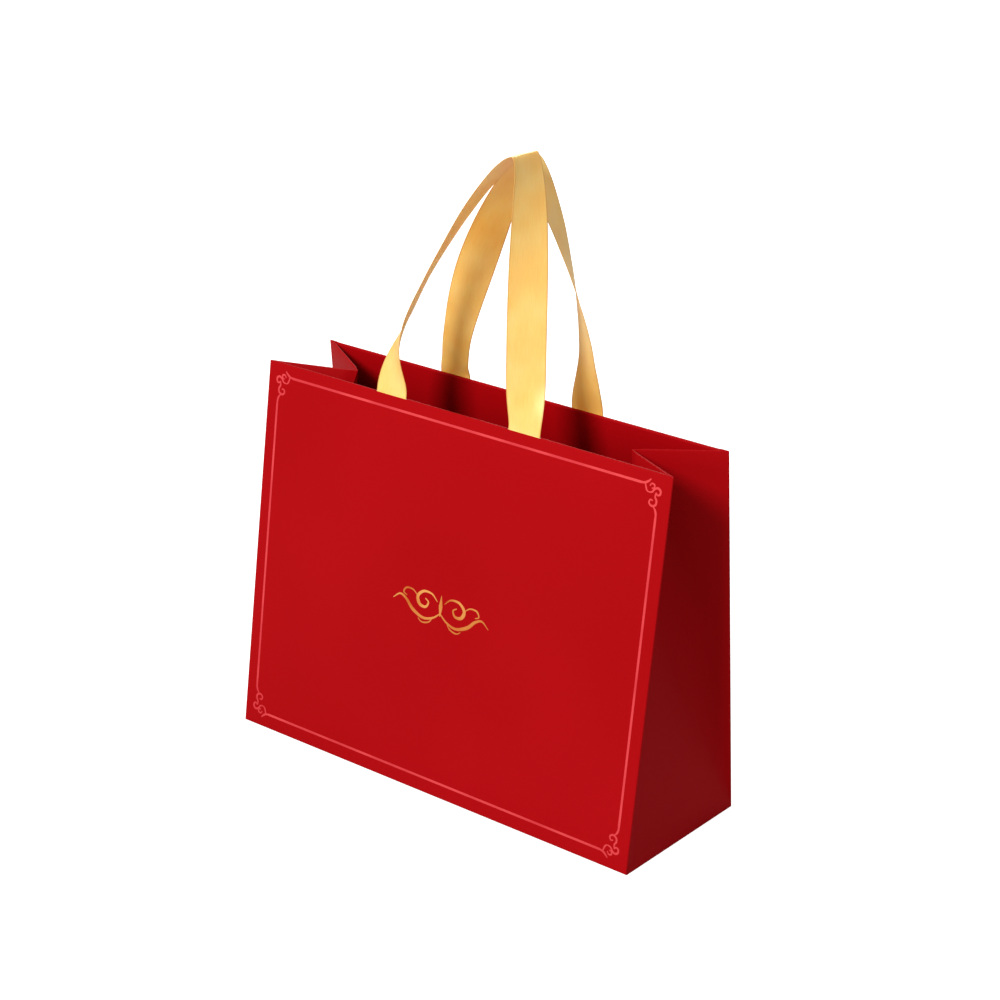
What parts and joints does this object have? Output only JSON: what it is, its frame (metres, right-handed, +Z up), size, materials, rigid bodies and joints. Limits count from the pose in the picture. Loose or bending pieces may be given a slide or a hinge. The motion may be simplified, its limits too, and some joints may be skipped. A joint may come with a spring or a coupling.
{
  "type": "gift bag",
  "caption": "Landscape paper gift bag with pushed-in side gussets, card-backed top hems and satin ribbon handles that swing out as the mouth opens.",
  "frame": {"origin": "middle of the underside, on the surface the bag stands on", "axes": "+X along the wide panels, +Y from the front panel to the back panel, +Z up"},
  "size_m": [0.3298, 0.12, 0.43],
  "materials": {
    "red_paper": "matt laminated art paper, red both sides",
    "grey_board": "plain grey board",
    "gold_satin": "woven satin ribbon",
    "rose_foil": "hot-stamped rose foil on paper",
    "gold_foil": "hot-stamped gold foil on paper"
  },
  "bodies": {
    "base": {"base_board": "grey_board", "front_bottom_flap": "red_paper", "back_bottom_flap": "red_paper", "left_bottom_flap": "red_paper", "right_bottom_flap": "red_paper"},
    "front_wall": {"front_panel": "red_paper", "front_hem": "red_paper", "front_reinforcement_card": "grey_board", "front_ribbon_tails": "gold_satin", "front_foil_frame": "rose_foil", "front_foil_motif": "gold_foil"},
    "front_handle": {"front_ribbon_loop": "gold_satin"},
    "back_wall": {"back_panel": "red_paper", "back_hem": "red_paper", "back_reinforcement_card": "grey_board", "back_ribbon_tails": "gold_satin", "back_foil_frame": "rose_foil", "back_foil_motif": "gold_foil", "side_seam_flap": "red_paper"},
    "back_handle": {"back_ribbon_loop": "gold_satin"},
    "right_gusset_middle": {"right_gusset_centre": "red_paper"},
    "right_gusset_front": {"right_gusset_front_facet": "red_paper", "right_gusset_front_hem": "red_paper"},
    "right_gusset_back": {"right_gusset_back_facet": "red_paper", "right_gusset_back_hem": "red_paper"},
    "left_gusset_middle": {"left_gusset_centre": "red_paper"},
    "left_gusset_front": {"left_gusset_front_facet": "red_paper", "left_gusset_front_hem": "red_paper"},
    "left_gusset_back": {"left_gusset_back_facet": "red_paper", "left_gusset_back_hem": "red_paper"}
  },
  "joints": [
    {"name": "mouth_open", "type": "hinge", "parent": "base", "child": "front_wall", "pos_m": [0, -0.0596, 0.0004], "axis": [1, 0, 0], "range_deg": [0, 3]},
    {"name": "back_wall_open", "type": "hinge", "parent": "base", "child": "back_wall", "pos_m": [0, 0.0596, 0.0004], "axis": [-1, 0, 0], "range_deg": [0, 3]},
    {"name": "right_gusset_unfold", "type": "hinge", "parent": "base", "child": "right_gusset_middle", "pos_m": [0.1646, 0, 0.0004], "axis": [0, 1, 0], "range_deg": [0, 2.4]},
    {"name": "right_front_facet_unfold", "type": "hinge", "parent": "front_wall", "child": "right_gusset_front", "pos_m": [0.1646, -0.0596, 0.0004], "axis": [0, -0.1138, -0.9935], "range_deg": [0, 16.5]},
    {"name": "right_back_facet_unfold", "type": "hinge", "parent": "back_wall", "child": "right_gusset_back", "pos_m": [0.1646, 0.0596, 0.0004], "axis": [0, -0.1138, 0.9935], "range_deg": [0, 16.5]},
    {"name": "left_gusset_unfold", "type": "hinge", "parent": "base", "child": "left_gusset_middle", "pos_m": [-0.1646, 0, 0.0004], "axis": [0, -1, 0], "range_deg": [0, 2.4]},
    {"name": "left_front_facet_unfold", "type": "hinge", "parent": "front_wall", "child": "left_gusset_front", "pos_m": [-0.1646, -0.0596, 0.0004], "axis": [0, 0.1138, 0.9935], "range_deg": [0, 16.5]},
    {"name": "left_back_facet_unfold", "type": "hinge", "parent": "back_wall", "child": "left_gusset_back", "pos_m": [-0.1646, 0.0596, 0.0004], "axis": [0, 0.1138, -0.9935], "range_deg": [0, 16.5]},
    {"name": "front_handle_swing", "type": "hinge", "parent": "front_wall", "child": "front_handle", "pos_m": [0, -0.03038, 0.25976], "axis": [1, 0, 0], "range_deg": [0, 155]},
    {"name": "back_handle_swing", "type": "hinge", "parent": "back_wall", "child": "back_handle", "pos_m": [0, 0.03038, 0.25976], "axis": [-1, 0, 0], "range_deg": [0, 155]}
  ],
  "couplings": [
    {"joint": "back_wall_open", "follows": "mouth_open", "ratio": 1},
    {"joint": "right_gusset_unfold", "follows": "mouth_open", "ratio": 0.8},
    {"joint": "right_front_facet_unfold", "follows": "mouth_open", "ratio": 5.5},
    {"joint": "right_back_facet_unfold", "follows": "mouth_open", "ratio": 5.5},
    {"joint": "left_gusset_unfold", "follows": "mouth_open", "ratio": 0.8},
    {"joint": "left_front_facet_unfold", "follows": "mouth_open", "ratio": 5.5},
    {"joint": "left_back_facet_unfold", "follows": "mouth_open", "ratio": 5.5}
  ]
}
